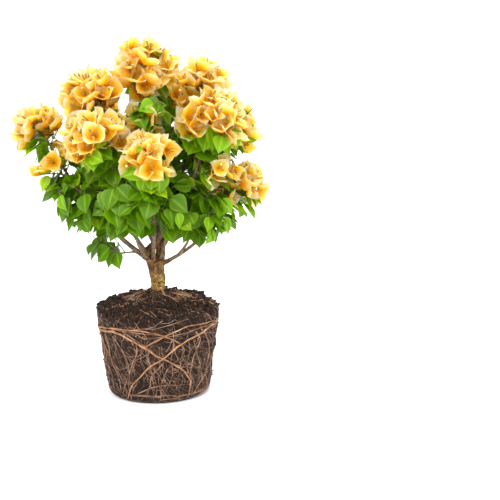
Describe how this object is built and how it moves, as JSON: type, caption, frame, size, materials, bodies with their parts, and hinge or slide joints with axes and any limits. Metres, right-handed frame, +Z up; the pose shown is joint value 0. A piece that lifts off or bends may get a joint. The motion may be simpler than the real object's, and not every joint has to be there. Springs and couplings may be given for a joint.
{
  "type": "bougainvillea bush",
  "caption": "Bougainvillea bush on its own root ball: a short forked trunk, spreading boughs, and a full crown of leaves and papery golden-orange bracts.",
  "frame": {"origin": "the middle of the root ball's flat underside, on the surface the bush stands on", "axes": "+Z up along the trunk; the front, from which the bush is usually seen, faces -Y; +X to the right seen from the front"},
  "size_m": [0.5037, 0.4342, 0.7044],
  "materials": {
    "root_ball": "rough, moist potting compost bound by tan roots",
    "bark": "dull ridged bark",
    "leaves": "glossy leaves",
    "blossom": "thin papery bracts over glossy leaves"
  },
  "bodies": {
    "root": {"root_ball": "root_ball", "trunk": "bark", "bough_back_centre": "bark", "bough_back_left": "bark", "bough_back_low_left": "bark", "bough_back_low_right": "bark", "bough_back_right": "bark", "bough_back_skirt": "bark", "bough_back_top": "bark", "bough_centre_front": "bark", "bough_far_left": "bark", "bough_far_right": "bark", "bough_heart": "bark", "bough_inner_right": "bark", "bough_left_front": "bark", "bough_left_low": "bark", "bough_left_skirt": "bark", "bough_low_centre": "bark", "bough_low_left": "bark", "bough_middle_skirt": "bark", "bough_right_end": "bark", "bough_right_front": "bark", "bough_right_low": "bark", "bough_right_skirt": "bark", "bough_top": "bark", "bough_upper_left": "bark", "bough_upper_right": "bark", "foliage_back_centre": "blossom", "foliage_back_left": "blossom", "foliage_back_low_left": "leaves", "foliage_back_low_right": "leaves", "foliage_back_right": "blossom", "foliage_back_skirt": "leaves", "foliage_back_top": "blossom", "foliage_centre_front": "blossom", "foliage_far_left": "blossom", "foliage_far_right": "blossom", "foliage_heart": "leaves", "foliage_inner_right": "leaves", "foliage_left_front": "blossom", "foliage_left_low": "blossom", "foliage_left_skirt": "leaves", "foliage_low_centre": "leaves", "foliage_low_left": "leaves", "foliage_middle_skirt": "leaves", "foliage_right_end": "blossom", "foliage_right_front": "blossom", "foliage_right_low": "blossom", "foliage_right_skirt": "leaves", "foliage_top": "blossom", "foliage_upper_left": "blossom", "foliage_upper_right": "blossom"}
  },
  "joints": []
}
